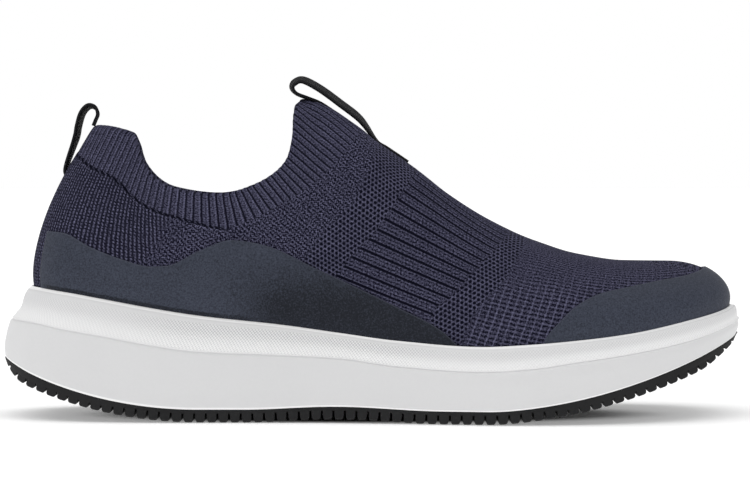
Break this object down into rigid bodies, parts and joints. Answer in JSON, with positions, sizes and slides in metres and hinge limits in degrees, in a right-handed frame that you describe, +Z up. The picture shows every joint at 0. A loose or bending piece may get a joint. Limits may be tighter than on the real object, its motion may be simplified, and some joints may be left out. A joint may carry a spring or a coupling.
{
  "type": "slip-on sneaker",
  "caption": "Low knitted slip-on running shoe for the right foot, with a thick foam sole, lugged rubber outsole and two pull loops.",
  "frame": {"origin": "middle of the base: the floor under the centre of the bounding box", "axes": "+X from the heel to the toe, +Y towards the inner (medial) side of this right shoe, +Z up"},
  "size_m": [0.3, 0.1064, 0.1369],
  "materials": {
    "rubber": "matt black moulded rubber",
    "foam": "pale moulded foam with a fine texture in its upper band",
    "knit": "dark violet-grey ribbed and pierced knit",
    "film": "smooth matt slate film bonded on the knit",
    "lining": "dark cloth",
    "webbing": "black woven webbing"
  },
  "bodies": {
    "root": {"outsole": "rubber", "midsole": "foam", "insole": "lining", "upper": "knit", "film_lateral": "film", "film_medial": "film", "film_toe": "film", "heel_loop": "webbing", "tongue_loop": "webbing"}
  },
  "joints": []
}
